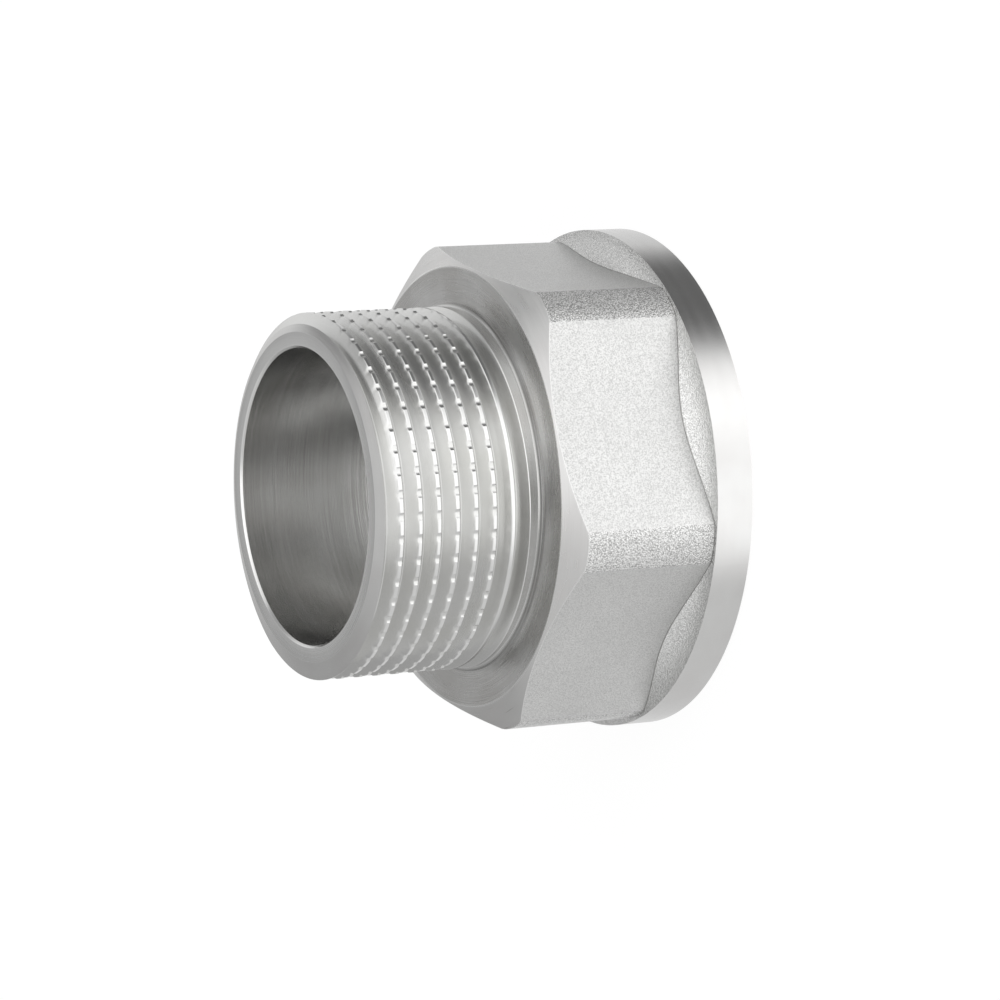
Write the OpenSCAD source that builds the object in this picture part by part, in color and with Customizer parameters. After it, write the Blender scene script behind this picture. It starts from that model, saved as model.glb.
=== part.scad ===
// Pipe adapter, one forged and turned piece: a male parallel pipe thread with
// serrated crests, a hexagon for the wrench, and a round collar with a larger
// female thread inside. It stands on its female end, with the male end up.
// Origin: middle of the female end face. +Z towards the male end. Millimetres.
// The threads are built as level ridges with the real pitch, depth and angle.

/* [Male thread] */
// Diameter over the crests
male_major_d = 41.91; // [38:0.01:46]
// Full ridges before the smooth neck
male_ridges = 7; // [4:1:9]
// Distance from the male end to the middle of the first full crest
male_lead = 2.2; // [1.6:0.1:4]
// Angle of the bevel on the male end, from the end face
bevel_angle = 15; // [10:1:35]
// Radial width of the flat ring on the male end
end_ring_w = 1.6; // [0.8:0.1:2]

/* [Crest serration] */
// Notches around each crest
notch_count = 52; // [24:1:60]
// Depth of a notch below the crest
notch_depth = 0.36; // [0.1:0.01:0.5]
// Width of a notch along the crest
notch_w = 1; // [0.4:0.05:1.1]

/* [Thread form] */
// Pitch of both threads
pitch = 2.309; // [1.8:0.001:2.6]
// Angle between the two flanks of a ridge
thread_angle = 55; // [50:1:60]

/* [Female thread] */
// Diameter over the roots cut in the collar end
female_major_d = 47.803; // [46:0.001:48.6]
// Full ridges
female_ridges = 6; // [4:1:8]
// Distance from the female end to the middle of the first full crest
female_lead = 2.2; // [1.8:0.1:4]
// Length of the smooth relief between the last ridge and the seat
relief_len = 2; // [1.2:0.1:4]
// How much the relief is cut deeper than the thread roots
relief_over = 0.1; // [0:0.05:0.3]

/* [Waterway] */
// Bore through the male end
bore_d = 34; // [24:0.1:35]
// Bevel on both ends of the bore
bore_bevel = 0.25; // [0.1:0.05:0.5]

/* [Hexagon and neck] */
// Width across the flats
across_flats = 51.6; // [51.2:0.1:58]
// Width across the rounded corners
across_corners = 57.46; // [56.6:0.01:59]
// Radius of the arc that rounds each corner
corner_round = 8.7; // [4.8:0.1:12]
// Metal between the female seat and the shoulder face
web = 4.7; // [3:0.1:10]
// Turned ring left inside the flats on the shoulder face
face_inset = 0.25; // [0.1:0.05:1]
// Angle of the turned bevel on the corners, from the shoulder face
corner_bevel_angle = 30; // [20:1:45]
// How much the smooth neck stands over the male crests, on the radius
neck_over = 0.3; // [0.22:0.01:0.8]
// Length from the neck's first flank to the shoulder face
neck_len = 1.34; // [1:0.01:4]

/* [Collar] */
// Length of the turned band at the female end
collar_len = 4.8; // [3:0.1:10]
// How much the band stands over the hexagon's corners, on the radius
collar_over = 0.42; // [0.2:0.01:2]
// Length of the forged sweep where a flat runs out, against its height
sweep_ratio = 1.25; // [1.05:0.01:1.6]
// Bevel on the outer edge of the female end
collar_bevel = 0.3; // [0.1:0.05:0.8]

/* [Hidden] */
// thread form: depth and lands follow from the pitch and the flank angle
sharp_h = pitch / (2 * tan(thread_angle / 2));
thread_depth = sharp_h * 2 / 3;
land_w = pitch / 6;
flank_w = (pitch / 2) - land_w;
// radii
male_r = male_major_d / 2;
male_root_r = male_r - thread_depth;
neck_r = male_r + neck_over;
female_r = female_major_d / 2;
female_crest_r = female_r - thread_depth;
relief_r = female_r + relief_over;
bore_r = bore_d / 2;
flat_r = across_flats / 2;
corner_r = across_corners / 2;
collar_r = corner_r + collar_over;
ring_r = bore_r + bore_bevel + end_ring_w;
face_r = flat_r - face_inset;
// heights
seat_z = female_lead + female_ridges * pitch + relief_len;
shoulder_z = seat_z + web;
neck_mid_z = shoulder_z + neck_len;
end_z = neck_mid_z + male_ridges * pitch + male_lead;
bevel_h = (male_r - ring_r) * tan(bevel_angle);
// each corner's arc cuts the two flats, and its middle lies on the corner's line
round_mid_r = corner_r - corner_round;
// foot of that middle on the flat, and the arc's edge on the flat from there
round_foot = round_mid_r * sin(30) + sqrt(pow(corner_round, 2) - pow(flat_r - round_mid_r * cos(30), 2));
// the six corner tips lie outside this, a little inside the arcs' edges
tip_cut = flat_r * cos(30) + round_foot * sin(30) - 0.2;
// the sweep between a flat and the band
sweep_r = (collar_r - flat_r) * sweep_ratio;
// the bevel on the corners
corner_bevel_h = (corner_r + 1 - face_r) * tan(corner_bevel_angle);
// a notch is the mark of a round rib whose middle lies outside the crest
notch_r = (notch_w * notch_w / 4 + notch_depth * notch_depth) / (2 * notch_depth);
female_mouth_r = relief_r + collar_bevel;
nickel = [0.76, 0.76, 0.74];
// overshoot of every cut
eps = 1;
$fn = 96;

// Profile of one ridge as a closed outline. top is the crest radius and base the
// root radius. Points run around the ridge with its middle at height 0.
function ridge(top, base, sunk) = [
    [base - sunk, -pitch / 2 + land_w / 2],
    [base, -pitch / 2 + land_w / 2],
    [top, -land_w / 2],
    [top, land_w / 2],
    [base, pitch / 2 - land_w / 2],
    [base - sunk, pitch / 2 - land_w / 2]
];

// Hexagon with rounded corners, two flats facing +Y and -Y.
module hex_outline() {
    intersection() {
        circle(r = flat_r / cos(30), $fn = 6);
        union() {
            rotate(30) circle(r = tip_cut / cos(30), $fn = 6);
            for (k = [0:5])
                rotate(60 * k) translate([round_mid_r, 0]) circle(r = corner_round);
        }
    }
}

// The wrench hexagon, its corners bevelled by the turning tool.
module hexagon() {
    intersection() {
        translate([0, 0, collar_len - eps])
            linear_extrude(shoulder_z - collar_len + eps) hex_outline();
        union() {
            cylinder(h = shoulder_z - corner_bevel_h, r = corner_r + 1);
            translate([0, 0, shoulder_z - corner_bevel_h])
                cylinder(h = corner_bevel_h, r1 = corner_r + 1, r2 = face_r);
        }
    }
}

// The turned band and the forged sweep above it, one revolved shape.
module collar() {
    rotate_extrude() {
        polygon([
            [0, 0], [collar_r - collar_bevel, 0], [collar_r, collar_bevel],
            [collar_r, collar_len], [0, collar_len]
        ]);
        difference() {
            translate([female_crest_r, collar_len])
                square([collar_r - female_crest_r, sweep_r]);
            translate([collar_r, collar_len + sweep_r]) circle(r = sweep_r);
        }
    }
}

// The male end: core, smooth neck and ridges, bevelled at the top.
module spigot() {
    intersection() {
        union() {
            translate([0, 0, seat_z]) cylinder(h = end_z - seat_z, r = male_root_r);
            rotate_extrude() {
                // neck, with the flank that faces the male end
                polygon([
                    [bore_r, shoulder_z - eps], [neck_r, shoulder_z - eps],
                    [neck_r, neck_mid_z + land_w / 2 - neck_over * tan(thread_angle / 2)],
                    [male_root_r, neck_mid_z + pitch / 2 - land_w / 2],
                    [bore_r, neck_mid_z + pitch / 2 - land_w / 2]
                ]);
                // the last ridge towards the end is the part one that the bevel cuts
                for (k = [1:male_ridges + 1])
                    translate([0, neck_mid_z + k * pitch])
                        polygon(ridge(male_r, male_root_r, pitch / 2));
            }
        }
        rotate_extrude()
            polygon([
                [0, 0], [corner_r, 0], [corner_r, end_z - bevel_h],
                [male_r, end_z - bevel_h], [ring_r, end_z], [0, end_z]
            ]);
    }
}

// Straight notches pressed across the crests. The ridge beside the neck and the part
// one at the end bevel stay whole.
module notches() {
    translate([0, 0, neck_mid_z + 1.5 * pitch])
        linear_extrude((male_ridges - 1) * pitch)
            for (k = [0:notch_count - 1])
                rotate(360 / notch_count * k)
                    translate([male_r - notch_depth + notch_r, 0]) circle(r = notch_r);
}

// Everything that is cut from inside: bore, seat, relief and female thread.
module waterway() {
    rotate_extrude() {
        polygon([
            [0, -eps], [female_mouth_r + eps, -eps], [female_mouth_r, 0],
            [female_crest_r, female_mouth_r - female_crest_r],
            [female_crest_r, seat_z - relief_len],
            [relief_r, seat_z - relief_len + (relief_r - female_crest_r) * tan(thread_angle / 2)],
            [relief_r, seat_z],
            [bore_r + bore_bevel, seat_z], [bore_r, seat_z + bore_bevel],
            [bore_r, end_z - bore_bevel], [bore_r + bore_bevel, end_z],
            [bore_r + bore_bevel, end_z + eps], [0, end_z + eps]
        ]);
        // the grooves between the ridges, cut outwards from the crests
        for (k = [0:female_ridges])
            translate([0, female_lead + (k - 0.5) * pitch])
                polygon([
                    [female_crest_r - eps / 2, -pitch / 2 + land_w / 2],
                    [female_crest_r, -pitch / 2 + land_w / 2],
                    [female_r, -land_w / 2], [female_r, land_w / 2],
                    [female_crest_r, pitch / 2 - land_w / 2],
                    [female_crest_r - eps / 2, pitch / 2 - land_w / 2]
                ]);
    }
}

module adapter_body() {
    color(nickel)
        difference() {
            union() {
                hexagon();
                collar();
                spigot();
            }
            notches();
            waterway();
        }
}

adapter_body();
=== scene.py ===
# Pipe adapter in nickel-plated brass: the visual model, its finishes, a plain studio and the camera.
# The part stands on its female end, +Z towards the male end. Lengths are in mm until the mesh is made.
import bmesh
import bpy
import numpy as np
from mathutils import Matrix


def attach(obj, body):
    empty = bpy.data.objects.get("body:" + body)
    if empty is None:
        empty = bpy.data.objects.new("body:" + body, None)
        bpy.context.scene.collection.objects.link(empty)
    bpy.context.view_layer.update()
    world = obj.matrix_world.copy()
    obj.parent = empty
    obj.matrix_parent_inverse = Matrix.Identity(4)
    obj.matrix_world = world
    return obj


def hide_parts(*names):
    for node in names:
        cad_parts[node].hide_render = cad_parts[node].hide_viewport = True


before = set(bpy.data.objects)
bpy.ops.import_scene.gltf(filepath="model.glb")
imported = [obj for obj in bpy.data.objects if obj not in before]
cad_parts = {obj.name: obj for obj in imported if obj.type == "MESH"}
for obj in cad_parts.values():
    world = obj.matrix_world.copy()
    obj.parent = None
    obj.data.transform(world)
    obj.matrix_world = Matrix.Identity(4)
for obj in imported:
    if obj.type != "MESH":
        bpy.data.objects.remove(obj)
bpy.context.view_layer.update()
scene = bpy.context.scene
scene.view_settings.view_transform = "Standard"
print("frame loaded")


# camera
camera = {
    "place": (-109.06, -454.07, 258.47),   # mm from the middle of the female end face
    "right": (-0.169892, -0.428730, -0.887314),
    "up": (0.963826, -0.259933, -0.058948),
    "focal": 4516.4,                       # pixels of a 1000 pixel frame
    "middle": (-8.3, -4.6),                # where the optical axis meets the frame, from its centre
    "sensor": 36,
}


# The picture's right, up and back directions; back = right x up, away from the part.
def pictureAxes(c):
    right, up = np.array(c["right"]), np.array(c["up"])
    return np.array([right, up, np.cross(right, up)])


# The camera's matrix has the picture's directions as columns; lens = sensor * focal / 1000.
def addCamera(c):
    m = Matrix.Identity(4)
    for row, directions in enumerate(pictureAxes(c).T):
        m[row][:3] = directions
        m[row][3] = c["place"][row] / 1000
    data = bpy.data.cameras.new("camera")
    data.sensor_width = c["sensor"]
    data.lens = c["focal"] / 1000 * c["sensor"]
    data.shift_x = -c["middle"][0] / 1000
    data.shift_y = c["middle"][1] / 1000
    data.clip_start = 0.01
    obj = bpy.data.objects.new("camera", data)
    scene.collection.objects.link(obj)
    obj.matrix_world = m
    scene.camera = obj


addCamera(camera)
print("camera set")


# shape of the body
body = {
    "height": 42.457,
    "boreRadius": 17.0,
    "boreBevel": 0.25,
    "ringRadius": 18.85,        # the flat ring on the male end stops here
    "endBevel": 15.0,           # degrees from the end face
    "pitch": 2.309,
    "flankAngle": 27.5,         # degrees, half of the thread's 55
    "rootRound": 0.20,
    "threadDepth": 1.615,       # from the crest circle down to the root
    "maleRadius": 20.955,
    "crestAt": 40.292,          # height of a crest's middle at azimuth -90
    "lastGroove": 25.287,       # height of the last groove's middle at azimuth -90
    "runOut": (-195.0, -255.0), # unwrapped azimuths between which the tool leaves the work
    "runOutClear": 0.5,         # how far past the thread's depth it is drawn out
    "crestPolishAndSheen": 0.12,           # depth below a crest at which its polish and painted highlight have faded
    "neckRadius": 21.255,
    "neckFrom": (25.457, 24.957),
    "neckLow": 23.2,            # below this the neck is a plain cylinder
    "notches": 52,
    "notchAt": -90.84,          # azimuth of one notch
    "notchHalf": 1.42,          # degrees from its middle to its edge
    "notchDepth": 0.20,
    "notchVary": 0.13,          # share by which one is deeper or shallower than the next
    "notchFrom": (26.75, 27.3), # the serrating wheel's ends, where the notches fade
    "notchTo": (40.75, 41.05),
    "shoulder": 22.754,
    "neckFoot": 0.12,           # fillet between the neck and the shoulder
    "faceRadius": 25.55,
    "cornerBevel": 30.0,
    "flat": 25.8,               # half the width across the flats
    "cornerEnds": (5.1, 4.4),   # degrees from a corner's line to each end of its rounded face
    "cornerBulge": 0.22,        # how far the face swells out between its ends
    "columns": (39, 13),        # on a flat and on a corner; 52 to the threaded side's 78
    "sweep": 4.1875,
    "collarRadius": 29.15,
    "collarHeight": 4.8,
    "collarBevel": 0.3,
    "femaleCrest": 22.423,
    "femaleAt": 2.2,            # height of the first full female crest at azimuth -90
    "mouthRadius": 24.3015,
    "reliefRadius": 24.0015,
    "reliefFrom": 16.054,
    "reliefFlank": 0.77,        # length of the cone between the crests and the relief
    "seat": 18.054,
    "edge": 0.06,               # width of the narrow rows that keep an edge crisp
    "sharp": 27,                # degrees between two faces from which their edge is a hard one
    "weld": 2e-6,               # metres; points closer than this become one
}
zones = ["turned", "endFace", "thread", "neck", "shoulder", "bevel",
         "blasted", "forged", "corner", "band", "bore"]


# Eases x from 0 to 1: 3 x^2 - 2 x^3.
def smooth(x):
    return x * x * (3 - 2 * x)


# How far the thread tool's surface stands below the crest circle, u mm along the axis
# from the groove's middle: a root arc, then straight flanks that go on past the crest.
def grooveDepth(u, b):
    root, half = b["rootRound"], np.radians(b["flankAngle"])
    end = root * np.cos(half)              # where the arc turns into the flank
    a = np.abs(u)
    arc = b["threadDepth"] - (root - np.sqrt(np.maximum(root * root - np.minimum(a, end) ** 2, 0)))
    return arc - np.maximum(a - end, 0) / np.tan(half)


# Height of a helix at azimuth theta: at + pitch * (theta + 90) / 360, so that at is its
# height at azimuth -90.
def helix(at, theta, b):
    return at + b["pitch"] * (theta + 90) / 360


# How far the tool has left the work at unwrapped azimuth w: (depth + clear) * smooth(g),
# where g goes from 0 to 1 along the run-out.
def runOutLift(w, b):
    first, last = b["runOut"]
    return (b["threadDepth"] + b["runOutClear"]) * smooth(np.clip((first - w) / (first - last), 0, 1))


# Radius at azimuth theta and height z: the turned blank, less every turn of the groove,
# less the notches pressed in from outside. Azimuth runs through the turns, so a groove's
# middle climbs one pitch in 360 degrees.
def maleSurface(theta, z, b):
    outer = b["maleRadius"]
    step = np.clip((b["neckFrom"][0] - z) / (b["neckFrom"][0] - b["neckFrom"][1]), 0, 1)
    r = outer + (b["neckRadius"] - outer) * step
    for turn in range(10):
        w = theta + 360 * turn
        r = np.minimum(r, outer - grooveDepth(z - helix(b["lastGroove"], w, b), b) + runOutLift(w, b))
    per = 360 / b["notches"]
    number = np.round((theta - b["notchAt"]) / per)
    crest = np.round((z - helix(b["crestAt"], theta, b)) / b["pitch"])
    # two sines of the notch's and the crest's number, which never fall into step
    vary = np.sin(number * 12.9898 + crest * 78.233) * 0.5 + np.sin(number * 3.7 + crest * 1.9) * 0.5
    x = np.radians(theta - b["notchAt"] - per * number) * outer
    half, deep = np.radians(b["notchHalf"]) * outer, b["notchDepth"] * (1 + b["notchVary"] * vary)
    rib = (half * half + deep * deep) / (2 * deep)            # radius of the wheel's rib
    dent = np.maximum(np.sqrt(np.maximum(rib * rib - x * x, 0)) - (rib - deep), 0)
    low = np.clip((z - b["notchFrom"][0]) / (b["notchFrom"][1] - b["notchFrom"][0]), 0, 1)
    high = np.clip((b["notchTo"][1] - z) / (b["notchTo"][1] - b["notchTo"][0]), 0, 1)
    return np.minimum(r, outer - dent * smooth(low) * smooth(high))


# Radius of the end bevel at height z: ring + (height - z) / tan(bevel).
def coneRadius(z, b):
    return b["ringRadius"] + (b["height"] - z) / np.tan(np.radians(b["endBevel"]))


# Azimuths of the threaded side: nine to a notch, close together across it.
def maleColumns(b):
    per = 360 / b["notches"]
    inNotch = b["notchHalf"] * np.array([-1, -0.7, -0.35, 0, 0.35, 0.7, 1, 1.95, 2.9])
    first = b["notchAt"] - b["notches"] / 2 * per
    return (first + per * np.arange(b["notches"])[:, None] + inNotch[None, :]).ravel()


# Azimuths of the hexagon side: even steps over each flat and over each corner, with a
# close pair on each side of the line where they meet.
def bodyColumns(b):
    near, tip, last = 0.3, 30 - b["cornerEnds"][0], 30 - b["cornerEnds"][1]
    onFlat, onCorner = b["columns"]
    flat = np.concatenate([[-last], np.linspace(near - last, tip - near, onFlat - 1)])
    corner = np.concatenate([[tip], np.linspace(tip + near, 60 - last - near, onCorner - 1)])
    return (-270 + 60 * np.arange(6)[:, None] + np.concatenate([flat, corner])[None, :]).ravel()


# Radius of the hexagon's outline: flat / cos(azimuth) on a flat. A corner's face leans
# evenly from one flat's edge to the next one's and swells out by bulge * (1 - |x|^3),
# where x goes from -1 to 1 across it.
def hexRadius(theta, b):
    side = (theta + 90) % 60 - 30
    before, after = b["cornerEnds"]
    x = np.clip((2 * side + before - after) / (before + after), -1, 1)
    first, second = (b["flat"] / np.cos(np.radians(30 - end)) for end in (before, after))
    corner = first + (second - first) * (x + 1) / 2 + b["cornerBulge"] * (1 - np.abs(x) ** 3)
    return np.where(np.abs(x) < 1, corner, b["flat"] / np.cos(np.radians(30 - np.abs(side))))


# Distances a from the groove's middle, drawn in to narrow * a up to the knee and let out
# evenly again to the end, so that rows follow the edge of a groove that narrows.
def closeIn(a, narrow, knee, end):
    inner, rest = np.minimum(a, knee), np.clip(a - knee, 0, end - knee)
    return a - inner * (1 - narrow) + rest * knee * (1 - narrow) / (end - knee)


# Depths below the first crest of a thread's rows, over the given turns: the rows of half
# a ridge, mirrored to a whole one and repeated every pitch.
def ridgeRows(half, turns, b):
    whole = np.concatenate([half, b["pitch"] - np.array(half)[1:-1][::-1]])
    return (b["pitch"] * turns[:, None] + whole[None, :]).ravel()


# Heights of the thread's rows at every azimuth. A row keeps its place on the ridge, so
# it climbs one pitch in a turn; past the end bevel or the neck it waits there.
def maleRows(b):
    theta = maleColumns(b)
    theta = np.append(theta, theta[0] + 360)
    fall = ridgeRows([0, 0.175, 0.21, 0.25, 0.42, 0.65, 0.96, 1.05, 1.1545], np.arange(11), b)
    low, high = np.full(len(theta), b["height"] - 0.65), np.full(len(theta), b["height"] - 0.1)
    top = helix(b["crestAt"], theta, b)
    while top.min() < high[0]:
        top = top + b["pitch"]
    z = top[None, :] - fall[:, None]
    half, halfLand = b["pitch"] / 2, b["pitch"] / 12
    for w in (theta, theta - 360):         # the turn that runs out, and the one below it
        middle = helix(b["lastGroove"], w, b)
        narrow = 1 - runOutLift(w, b) * np.tan(np.radians(b["flankAngle"])) / half
        narrow = np.clip(narrow, 0.12, 1)  # rows stay apart where the groove has gone
        off = z - middle
        below = closeIn(-off, narrow, half, b["pitch"])
        above = closeIn(off, narrow, half - halfLand, half)
        z = middle + np.where(off < 0, -below, above)
    for _ in range(40):                    # halve the span where the bevel's cone meets the thread
        mid = (low + high) / 2
        inside = maleSurface(theta, mid, b) < coneRadius(mid, b)
        low, high = np.where(inside, mid, low), np.where(inside, high, mid)
    return theta, np.clip(z, b["neckLow"], low[None, :]), low


# One closed row of azimuth, radius, height and wear mark, each a number or one per azimuth.
# The mark is 1 on a polished edge, lighter partly as a painted highlight, and -1 in the crease, as
# painted shade.
def ring(theta, r, z, wearSheenAndShade):
    return np.stack([np.broadcast_to(v, theta.shape) for v in (theta, r, z, wearSheenAndShade)], 1)


# Every row of the closed surface in order, from the male end's bore edge outwards, down
# the outside, up the inside, and back. Each is a zone, for the faces before it, and a ring.
def profileRows(b):
    rows = []
    thM, zM, bevelLow = maleRows(b)
    thB = np.append(bodyColumns(b), bodyColumns(b)[0] + 360)
    h, s, thin = b["height"], b["shoulder"], b["edge"]
    bore, bev = b["boreRadius"], b["boreBevel"]

    def add(zone, theta, r, z, wearSheenAndShade=0.0):
        rows.append((zone, ring(theta, r, z, wearSheenAndShade)))

    # end ring, and end bevel: z = height - (r - ring) * tan(bevel)
    add("bore", thB, bore + bev, h, 1)
    add("endFace", thB, bore + bev + 0.05, h, 0.5)
    add("endFace", thM, b["ringRadius"] - thin, h)
    add("endFace", thM, b["ringRadius"], h, 1)
    wide = coneRadius(bevelLow, b) - b["ringRadius"]
    for share in (0.04, 0.5, 0.97, 1.0):
        drop = wide * share * np.tan(np.radians(b["endBevel"]))
        add("turned", thM, b["ringRadius"] + wide * share, h - drop)
    # thread, neck and its foot
    for z in zM:
        r = maleSurface(thM, z, b)
        # crests take the edge mark: lighter as polish and partly as a painted highlight
        add("thread", thM, r, z, np.clip((r - b["maleRadius"]) / b["crestPolishAndSheen"] + 1, 0, 1))
    foot = b["neckFoot"]
    for out, z in ((0, b["neckLow"] - 0.1), (0, s + foot), (0.035, s + 0.035), (foot, s)):
        add("neck", thM, b["neckRadius"] + out, z)
    add("shoulder", thM, b["neckRadius"] + 0.35, s)
    # shoulder face, and corner bevels: z = shoulder - (r - face) * tan(bevel)
    face = b["faceRadius"]
    add("shoulder", thB, face - 0.2, s)
    add("shoulder", thB, face - 0.05, s, 1)
    hexR = hexRadius(thB, b)
    slope = np.tan(np.radians(b["cornerBevel"]))
    for share, wearSheenAndShade in ((0.0, 1), (0.05, 0), (0.5, 0), (0.95, 0), (1.0, 1)):
        r = face + 0.02 + (hexR - face - 0.02) * share
        add("bevel", thB, r, s - (r - face) * slope, wearSheenAndShade)
    # flats down to the sweep, and the sweep: a circle's arc that ends level on the collar
    cr, ch, sw = b["collarRadius"], b["collarHeight"], b["sweep"]
    top = s - (hexR - face) * slope
    start = np.arcsin(np.clip((cr - hexR) / sw, 0, 1))        # angle on the sweep's circle
    low = ch + sw * (1 - np.cos(start))
    # the last row, where the flat meets the sweep, is marked -1: painted shade in the crease
    for share, wearSheenAndShade in ((0.008, 0), (0.04, 0), (0.35, 0), (0.65, 0), (0.96, 0), (0.992, 0), (1.0, -1)):
        add("blasted", thB, hexR, top + (low - top) * share, wearSheenAndShade)
    for share in (0.03, 0.2, 0.4, 0.6, 0.8, 0.95, 1.0):
        a = start * (1 - share)
        add("forged", thB, cr - sw * np.sin(a), ch + sw * (1 - np.cos(a)))
    # band and female end face
    cut = b["collarBevel"]
    for r, z in ((cr, ch - thin), (cr, 2.5), (cr, cut + 0.05), (cr, cut), (cr - cut, 0),
                 (cr - cut - thin, 0), (b["mouthRadius"] + thin, 0)):
        add("band", thB, r, z)
    # female thread: crests stand inwards, so the surface is the largest radius of its cuts
    crest, flank = b["femaleCrest"], np.tan(np.radians(b["flankAngle"]))
    firstCrest = helix(b["femaleAt"], thB, b)
    reliefEnd = b["reliefFrom"] + b["reliefFlank"]
    for up in ridgeRows([0, 0.21, 0.88, 1.1545], np.arange(-2, 8), b):
        z = np.clip(firstCrest + up, 0, reliefEnd + 0.03)
        away = (z - firstCrest) % b["pitch"] - b["pitch"] / 2
        groove = crest + np.clip(grooveDepth(away, b), 0, None)
        relief = np.minimum(b["reliefRadius"] - (reliefEnd - z) / flank, b["reliefRadius"])
        cuts = (b["mouthRadius"] - z, groove, relief)
        add("thread", thB, np.maximum.reduce(cuts), z)
    # relief, seat and bore
    seat = b["seat"]
    for r, z in ((b["reliefRadius"], seat - 0.08), (b["reliefRadius"] - 0.08, seat),
                 (bore + bev + thin, seat), (bore + bev, seat), (bore, seat + bev),
                 (bore, seat + bev + thin), (bore, 26), (bore, 34),
                 (bore, h - bev - thin), (bore, h - bev)):
        add("bore", thB, r, z)
    return rows


# Faces between two rows whose vertices start at lower and upper. Rows of one length give
# quads; three columns against two give two quads and a triangle a group.
def bandFaces(lower, upper, n, m):
    if n == m:
        i = np.arange(n - 1)
        quads = np.stack([lower + i, lower + i + 1, upper + i + 1, upper + i], 1)
        return quads, np.zeros((0, 3), int)
    if n > m:
        g = np.arange((n - 1) // 3)
        a, c = lower + 3 * g, upper + 2 * g
        quads = [np.stack([a, a + 1, c + 1, c], 1), np.stack([a + 2, a + 3, c + 2, c + 1], 1)]
        return np.concatenate(quads), np.stack([a + 1, a + 2, c + 1], 1)
    quads, tris = bandFaces(upper, lower, m, n)
    return quads[:, ::-1], tris[:, ::-1]


# The rows joined to one closed mesh: x = r cos(azimuth), y = r sin(azimuth). The last row
# joins the first one, and the seam between the two ends of every row is welded.
def makeBody(b):
    rows = profileRows(b)
    points = np.concatenate([row for _, row in rows])
    theta, r, z, wearSheenAndShade = points.T
    theta = np.radians(theta)
    co = np.stack([r * np.cos(theta), r * np.sin(theta), z], 1) / 1000
    starts = np.cumsum([0] + [len(row) for _, row in rows])
    onFlat, onCorner = b["columns"]
    quads, tris, quadZone, triZone = [], [], [], []
    for k in range(len(rows)):
        nxt = (k + 1) % len(rows)
        q, t = bandFaces(starts[k], starts[nxt], len(rows[k][1]), len(rows[nxt][1]))
        zone = rows[nxt][0]
        corner = (zone == "blasted") & (np.arange(len(q)) % (onFlat + onCorner) >= onFlat)
        quads.append(q)
        tris.append(t)
        quadZone.append(np.where(corner, zones.index("corner"), zones.index(zone)))
        triZone.append(np.full(len(t), zones.index(zone)))
    quads, tris = np.concatenate(quads), np.concatenate(tris)
    loops = np.concatenate([quads.ravel(), tris.ravel()])
    sizes = np.concatenate([np.full(len(quads), 4), np.full(len(tris), 3)])
    mesh = bpy.data.meshes.new("adapter")
    mesh.vertices.add(len(co))
    mesh.vertices.foreach_set("co", co.astype(np.float32).ravel())
    mesh.loops.add(len(loops))
    mesh.loops.foreach_set("vertex_index", loops.astype(np.int32))
    mesh.polygons.add(len(sizes))
    mesh.polygons.foreach_set("loop_start", (np.cumsum(sizes) - sizes).astype(np.int32))
    mesh.polygons.foreach_set("material_index", np.concatenate(quadZone + triZone).astype(np.int32))
    mesh.attributes.new("wearSheenAndShade", "FLOAT", "POINT").data.foreach_set("value", wearSheenAndShade.astype(np.float32))
    mesh.update(calc_edges=True)
    bm = bmesh.new()
    bm.from_mesh(mesh)
    bmesh.ops.remove_doubles(bm, verts=bm.verts, dist=b["weld"])   # the seam and the waiting rows
    bmesh.ops.recalc_face_normals(bm, faces=bm.faces)
    openEdges = sum(1 for e in bm.edges if len(e.link_faces) != 2)
    bm.to_mesh(mesh)
    bm.free()
    mesh.validate()
    mesh.shade_smooth()
    mesh.set_sharp_from_angle(angle=np.radians(b["sharp"]))
    obj = bpy.data.objects.new("adapter", mesh)
    scene.collection.objects.link(obj)
    count = len(mesh.polygons) + sum(1 for p in mesh.polygons if p.loop_total == 4)
    print("body made:", len(mesh.vertices), "vertices,", count, "triangles, open edges", openEdges)
    return obj


adapter = makeBody(body)


# finishes
# sRGB hex to the linear values that a shader takes.
def colour(hexCode):
    s = np.array([int(hexCode[i:i + 2], 16) for i in (1, 3, 5)]) / 255
    lin = np.where(s <= 0.04045, s / 12.92, ((s + 0.055) / 1.055) ** 2.4)
    return (*[float(v) for v in lin], 1.0)


# Adds a node, sets its properties and its sockets' values, and links {socket: source}.
def addNode(tree, kind, settings=None, links=None, values=None):
    node = tree.nodes.new(kind)
    for key, value in (settings or {}).items():
        setattr(node, key, value)
    for key, value in (values or {}).items():
        node.inputs[key].default_value = value
    for key, source in (links or {}).items():
        tree.links.new(source, node.inputs[key])
    return node
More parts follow.
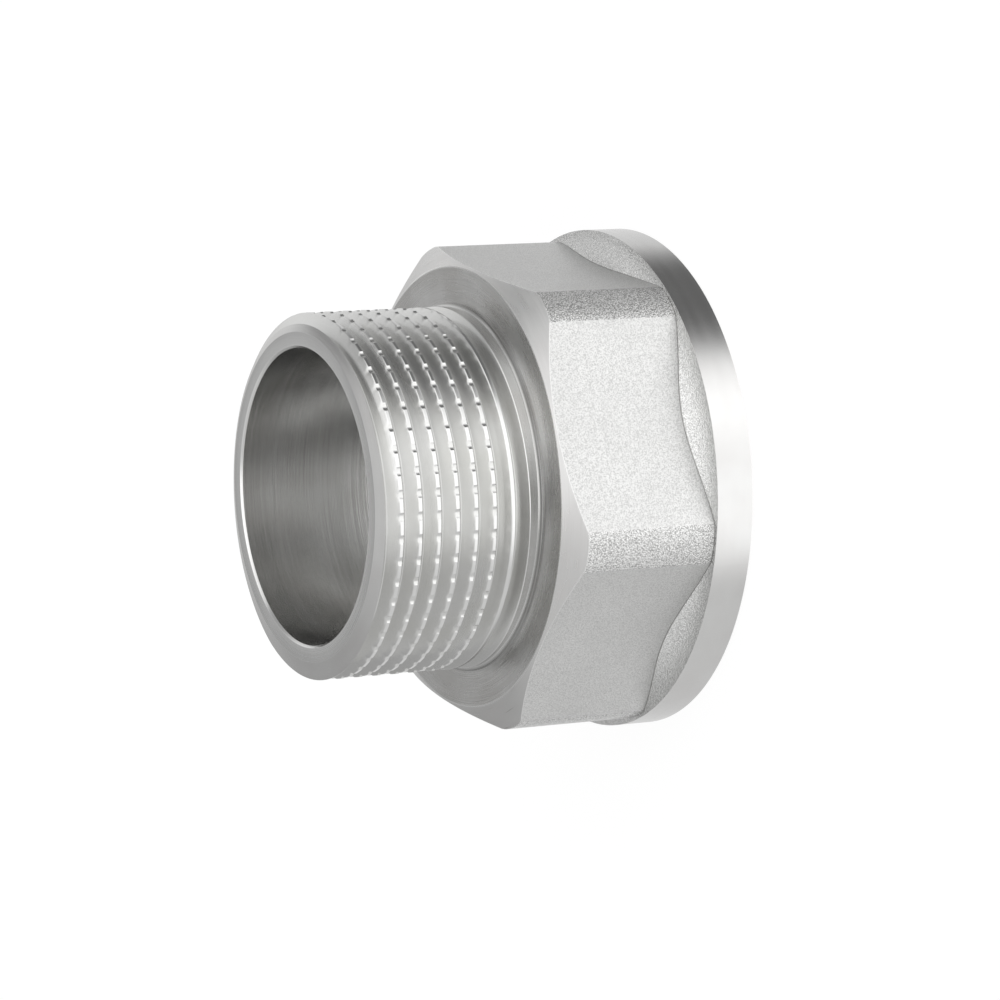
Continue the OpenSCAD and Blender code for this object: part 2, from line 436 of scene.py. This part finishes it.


# Nickel over brass. A turned face has fine tool lines that stretch the reflections
# across them; a shot-blasted one has pits that scatter them to a soft grey. Both are
# dulled in soft clouds and darker in the pits. Edges are lighter, partly polish from
# handling and partly a painted highlight, and the crease is painted darker as shade.
def nickel(name, f):
    mat = bpy.data.materials.new(name)
    mat.use_nodes = True
    tree = mat.node_tree
    tree.nodes.clear()
    point = addNode(tree, "ShaderNodeTexCoord").outputs["Object"]
    mm = addNode(tree, "ShaderNodeVectorMath", {"operation": "SCALE"}, {0: point},
                 {"Scale": 1000}).outputs[0]
    clouds = addNode(tree, "ShaderNodeTexNoise", None, {"Vector": mm},
                     {"Scale": 1 / f["cloud"], "Detail": 3.0}).outputs[0]
    if "grain" in f:                       # pits of the shot
        fine = addNode(tree, "ShaderNodeTexNoise", None, {"Vector": mm},
                       {"Scale": 1 / f["grain"], "Detail": 2.0, "Roughness": 0.6}).outputs[0]
        coarse = addNode(tree, "ShaderNodeTexNoise", None, {"Vector": mm},
                         {"Scale": 1 / (4 * f["grain"]), "Detail": 2.0}).outputs[0]
    else:                                  # tool lines: noise of z + 1.3 r, level rings on every face
        height = addNode(tree, "ShaderNodeSeparateXYZ", None, {0: mm}).outputs["Z"]
        flat = addNode(tree, "ShaderNodeVectorMath", {"operation": "MULTIPLY"}, {0: mm}, {1: (1, 1, 0)})
        out = addNode(tree, "ShaderNodeVectorMath", {"operation": "LENGTH"}, {0: flat.outputs[0]})
        along = addNode(tree, "ShaderNodeMath", {"operation": "MULTIPLY_ADD"},
                        {0: out.outputs["Value"], 2: height}, {1: 1.3}).outputs[0]
        slow = addNode(tree, "ShaderNodeVectorMath", {"operation": "SCALE"}, {0: flat.outputs[0]},
                       {"Scale": 1 / f["streak"]}).outputs[0]
        lines = []
        for width in (f["line"], f["line"] * 5):
            step = addNode(tree, "ShaderNodeMath", {"operation": "DIVIDE"}, {0: along}, {1: width})
            place = addNode(tree, "ShaderNodeCombineXYZ", None, {"Z": step.outputs[0]}).outputs[0]
            place = addNode(tree, "ShaderNodeVectorMath", {"operation": "ADD"}, {0: slow, 1: place})
            lines.append(addNode(tree, "ShaderNodeTexNoise", None, {"Vector": place.outputs[0]},
                                 {"Scale": 1.0, "Detail": 2.0}).outputs[0])
        fine, coarse = lines
    bump = addNode(tree, "ShaderNodeBump", None, {"Height": coarse},
                   {"Strength": 1.0, "Distance": f["coarseDepth"] / 1000}).outputs[0]
    bump = addNode(tree, "ShaderNodeBump", None, {"Height": fine, "Normal": bump},
                   {"Strength": 1.0, "Distance": f["depth"] / 1000}).outputs[0]
    # colour: clouds, then pits, then edges lighter as polish and painted highlight, then painted shade
    # in the crease
    dull = addNode(tree, "ShaderNodeMapRange", None, {"Value": clouds},
                   {"From Min": 0.35, "From Max": 0.65}).outputs[0]
    tint = addNode(tree, "ShaderNodeMix", {"data_type": "RGBA"}, {0: dull},
                   {6: colour(f["base"]), 7: colour(f["cloudy"])}).outputs[2]
    pit = addNode(tree, "ShaderNodeMapRange", {"interpolation_type": "SMOOTHSTEP"}, {"Value": fine},
                  {"From Min": f["pits"][0], "From Max": f["pits"][1],
                   "To Min": 1.0, "To Max": 0.0}).outputs[0]
    wearSheenAndShade = addNode(tree, "ShaderNodeAttribute", {"attribute_name": "wearSheenAndShade"}).outputs["Fac"]
    # painted shade in the crease: the negative mark times its strength, as a share of the dark grey
    creaseShade = addNode(tree, "ShaderNodeMath", {"operation": "MULTIPLY", "use_clamp": True}, {0: wearSheenAndShade},
                     {1: -f["creaseShadeStrength"]}).outputs[0]
    for share, mark in ((pit, "pitted"), (wearSheenAndShade, "edge"), (creaseShade, "paintedCreaseShade")):
        tint = addNode(tree, "ShaderNodeMix", {"data_type": "RGBA"}, {0: share, 6: tint},
                       {7: colour(f[mark])}).outputs[2]
    # roughness: from the coarse noise, rougher in the pits and smoother on the edges
    rough = addNode(tree, "ShaderNodeMapRange", None, {"Value": coarse},
                    {"From Min": 0.3, "From Max": 0.7,
                     "To Min": f["rough"][0], "To Max": f["rough"][1]}).outputs[0]
    for share, more in ((pit, f["pitRough"]), (wearSheenAndShade, f["edgeRough"])):
        rough = addNode(tree, "ShaderNodeMath", {"operation": "MULTIPLY_ADD"}, {0: share, 2: rough},
                        {1: more}).outputs[0]
    shader = addNode(tree, "ShaderNodeBsdfPrincipled", None,
                     {"Base Color": tint, "Roughness": rough, "Normal": bump}, {"Metallic": 1.0})
    addNode(tree, "ShaderNodeOutputMaterial", None, {"Surface": shader.outputs[0]})
    return mat


# What every finish starts from: nickel plate over a fine turned face, a clean satin grey.
# Widths and depths are in mm. A tool's feed of about 0.1 mm is too fine to show, so most
# lines are drawn twice as coarse.
turned = {
    # the edge colour is a lighter grey, partly polish and partly a painted highlight; the crease colour
    # is a dark grey, painted shade
    "base": "#D9D9D8", "cloudy": "#D3D2D1", "pitted": "#A9A8A5", "edge": "#E2E2E1", "paintedCreaseShade": "#6E6D6A",
    "rough": (0.20, 0.28),
    "pitRough": 0.05,
    "edgeRough": -0.06,
    "creaseShadeStrength": 0.8,                # share of the crease's colour that is painted shade
    "line": 0.22,               # width of a tool line
    "streak": 80,               # a line changes along its length over this distance
    "depth": 0.003,
    "coarseDepth": 0.004,
    "cloud": 7.0,
    "pits": (-0.2, -0.1),       # noise levels a pit fills and ends at; these leave none
}
finishes = {
    "turned": ("turned_nickel_bevel", {}),
    # faced end: rings fan the light out to a soft matt band
    "endFace": ("faced_nickel_ring", {
        "base": "#C6C6C5", "cloudy": "#C0C0BF", "rough": (0.22, 0.30), "line": 0.18, "depth": 0.014}),
    # cut thread: clean flanks, almost as bright as polished metal
    "thread": ("cut_nickel_thread", {"base": "#DCDCDB", "cloudy": "#D8D8D6"}),
    # neck: turned, in the corner under the thread, given a darker, duller and patchy grey
    "neck": ("turned_nickel_neck", {
        "base": "#B2B2B1", "cloudy": "#A6A5A3", "rough": (0.20, 0.34), "streak": 15,
        "depth": 0.008, "coarseDepth": 0.012}),
    # shoulder: coarse broken facing marks that catch the light in short streaks
    "shoulder": ("faced_nickel_shoulder", {
        "base": "#CACAC9", "cloudy": "#BCBBB9", "rough": (0.20, 0.34), "line": 0.18, "streak": 8,
        "depth": 0.028, "coarseDepth": 0.03, "pits": (0.18, 0.36)}),
    # corner bevels: the same marks, shallower, on a satin ground
    "bevel": ("turned_nickel_corner_bevel", {
        "base": "#D4D4D3", "rough": (0.26, 0.36), "line": 0.18, "streak": 8,
        "depth": 0.02, "coarseDepth": 0.015, "pits": (0.16, 0.32)}),
    # band: the finest cut, a near mirror round the collar
    "band": ("turned_nickel_band", {
        "rough": (0.14, 0.20), "line": 0.16, "depth": 0.0015, "coarseDepth": 0.002}),
    # bore: brushed round, with streaks that fade along their length
    "bore": ("brushed_nickel_bore", {
        "cloudy": "#CFCECC", "rough": (0.18, 0.26), "streak": 25, "line": 0.13,
        "depth": 0.012, "coarseDepth": 0.003}),
    # flats: shot-blasted over a milled face, an even fine sparkle
    "blasted": ("shot_blasted_nickel", {
        "base": "#DFDFDE", "cloudy": "#DADAD9", "pitted": "#BFBFBE", "rough": (0.28, 0.34),
        "grain": 0.13, "depth": 0.04, "coarseDepth": 0.02, "pits": (0.36, 0.60)}),
    # sweeps and corners: shot-blasted over the raw forging, coarser and brighter
    "forged": ("shot_blasted_forged_nickel", {
        "base": "#EFEFEE", "cloudy": "#E8E8E7", "pitted": "#CDCDCC", "rough": (0.17, 0.22),
        "grain": 0.17, "depth": 0.10, "coarseDepth": 0.04, "pits": (0.36, 0.60)}),
    "corner": ("shot_blasted_nickel_corner", {
        "base": "#E8E8E7", "cloudy": "#E2E2E1", "pitted": "#A8A8A7", "rough": (0.16, 0.20),
        "grain": 0.17, "depth": 0.13, "coarseDepth": 0.04, "pits": (0.36, 0.60)}),
}
for zone in zones:
    name, own = finishes[zone]
    adapter.data.materials.append(nickel(name, {**turned, **own}))
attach(adapter, "root")
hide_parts("adapter_body")
print("finishes set")


# studio
studio = {
    "room": 0.73,                  # level of the pale walls that the metal mirrors
    # soft lamps and, with a minus, grey cards on the walls: direction (the picture's right,
    # up, back), the cosines between which each fades in, and what it adds to the level
    "lamps": [
        ((0.80, 0.10, 0.59), 0.60, 0.93, 0.64),
        ((0.90, 0.45, 0.10), 0.86, 0.98, 0.28),
        ((-0.60, 0.35, 0.72), 0.70, 0.86, 0.74),
        ((0.75, 0.10, -0.65), 0.60, 0.95, 0.62),
        ((-0.76, 0.30, -0.58), 0.88, 0.98, 0.18),
        ((0.38, 0.89, -0.25), 0.80, 0.985, -0.56),
        ((-0.68, -0.42, -0.60), 0.75, 1.00, -0.31),
        ((-0.88, 0.20, -0.44), 0.970, 0.997, -0.58),
        ((-0.65, 0.75, 0.10), 0.72, 1.00, -0.34),
        ((0.0, 0.0, 1.0), 0.88, 1.00, -0.42),
    ],
    "paper": "#F4F4F4",
    "floorRadius": 3.0,            # metres
    "floorWhite": 0.86,            # share of the paper that the camera sees as plain white
    "floorGlow": 1.05,
}


# The room: the camera sees plain white, and everything else sees walls whose level is
# room + the sum of more * smoothstep(direction . aim) over the lamps and cards.
def addStudio(c, axes):
    world = bpy.data.worlds.new("studio")
    scene.world = world
    world.use_nodes = True
    tree = world.node_tree
    tree.nodes.clear()
    direction = addNode(tree, "ShaderNodeTexCoord").outputs["Generated"]
    total = {}                             # the first sum starts from the room's own level
    for aim, ends, whole, more in c["lamps"]:
        aim = np.array(aim) / np.linalg.norm(aim) @ axes
        dot = addNode(tree, "ShaderNodeVectorMath", {"operation": "DOT_PRODUCT"}, {0: direction},
                      {1: [float(v) for v in aim]})
        lamp = addNode(tree, "ShaderNodeMapRange", {"interpolation_type": "SMOOTHSTEP"},
                       {"Value": dot.outputs["Value"]},
                       {"From Min": ends, "From Max": whole, "To Min": 0.0, "To Max": more})
        level = addNode(tree, "ShaderNodeMath", {"operation": "ADD"}, {0: lamp.outputs[0], **total},
                        {1: c["room"]}).outputs[0]
        total = {1: level}
    white = {"Color": (1, 1, 1, 1)}
    room = addNode(tree, "ShaderNodeBackground", None, {"Strength": level}, white)
    plain = addNode(tree, "ShaderNodeBackground", None, None, {**white, "Strength": 1.0})
    path = addNode(tree, "ShaderNodeLightPath")
    mix = addNode(tree, "ShaderNodeMixShader", None,
                  {0: path.outputs["Is Camera Ray"], 1: room.outputs[0], 2: plain.outputs[0]})
    addNode(tree, "ShaderNodeOutputWorld", None, {"Surface": mix.outputs[0]})


# The floor: a disc of matt white paper that glows plain white to the camera alone, and
# keeps the rest of its own shading, which holds the part's shadow.
def addFloor(c):
    bm = bmesh.new()
    bmesh.ops.create_circle(bm, cap_ends=True, segments=96, radius=c["floorRadius"])
    mesh = bpy.data.meshes.new("floor")
    bm.to_mesh(mesh)
    bm.free()
    floor = bpy.data.objects.new("floor", mesh)
    scene.collection.objects.link(floor)
    mat = bpy.data.materials.new("white_paper")
    mat.use_nodes = True
    tree = mat.node_tree
    tree.nodes.clear()
    paper = addNode(tree, "ShaderNodeBsdfDiffuse", None, None, {"Color": colour(c["paper"])})
    glow = addNode(tree, "ShaderNodeEmission", None, None, {"Strength": c["floorGlow"]})
    path = addNode(tree, "ShaderNodeLightPath")
    seen = addNode(tree, "ShaderNodeMath", {"operation": "MULTIPLY"},
                   {0: path.outputs["Is Camera Ray"]}, {1: c["floorWhite"]})
    mix = addNode(tree, "ShaderNodeMixShader", None,
                  {0: seen.outputs[0], 1: paper.outputs[0], 2: glow.outputs[0]})
    addNode(tree, "ShaderNodeOutputMaterial", None, {"Surface": mix.outputs[0]})
    mesh.materials.append(mat)
    floor.visible_glossy = False           # the metal sees the white room in its place
    floor.visible_shadow = False


addStudio(studio, pictureAxes(camera))
addFloor(studio)
print("studio set")
